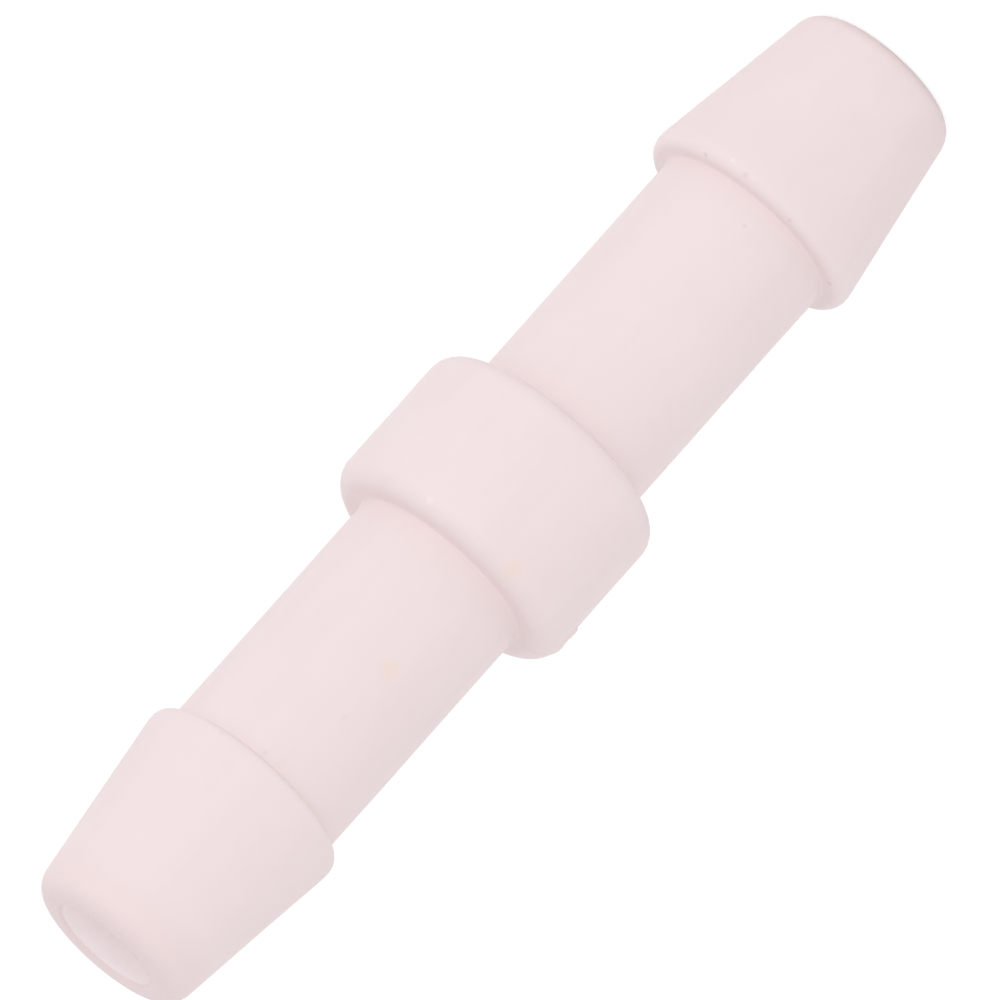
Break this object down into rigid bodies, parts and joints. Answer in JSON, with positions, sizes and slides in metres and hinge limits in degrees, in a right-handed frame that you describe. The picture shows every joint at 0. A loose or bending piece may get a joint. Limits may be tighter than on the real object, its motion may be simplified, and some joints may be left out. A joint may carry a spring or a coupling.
{
  "type": "barbed hose connector",
  "caption": "Straight one-piece moulded hose connector with a through bore, a single barb at each end, plain necks and a rounded stop collar in the middle.",
  "frame": {"origin": "centre of the flat end face of the larger barb, which is the foot it stands on", "axes": "+Z along the bore, from the larger barb up to the smaller one; +X and +Y square to it, with the gate mark on the collar at 225 degrees from +X"},
  "size_m": [0.011, 0.011, 0.048],
  "materials": {
    "natural_plastic": "matte"
  },
  "bodies": {
    "root": {"connector_body": "natural_plastic"}
  },
  "joints": []
}
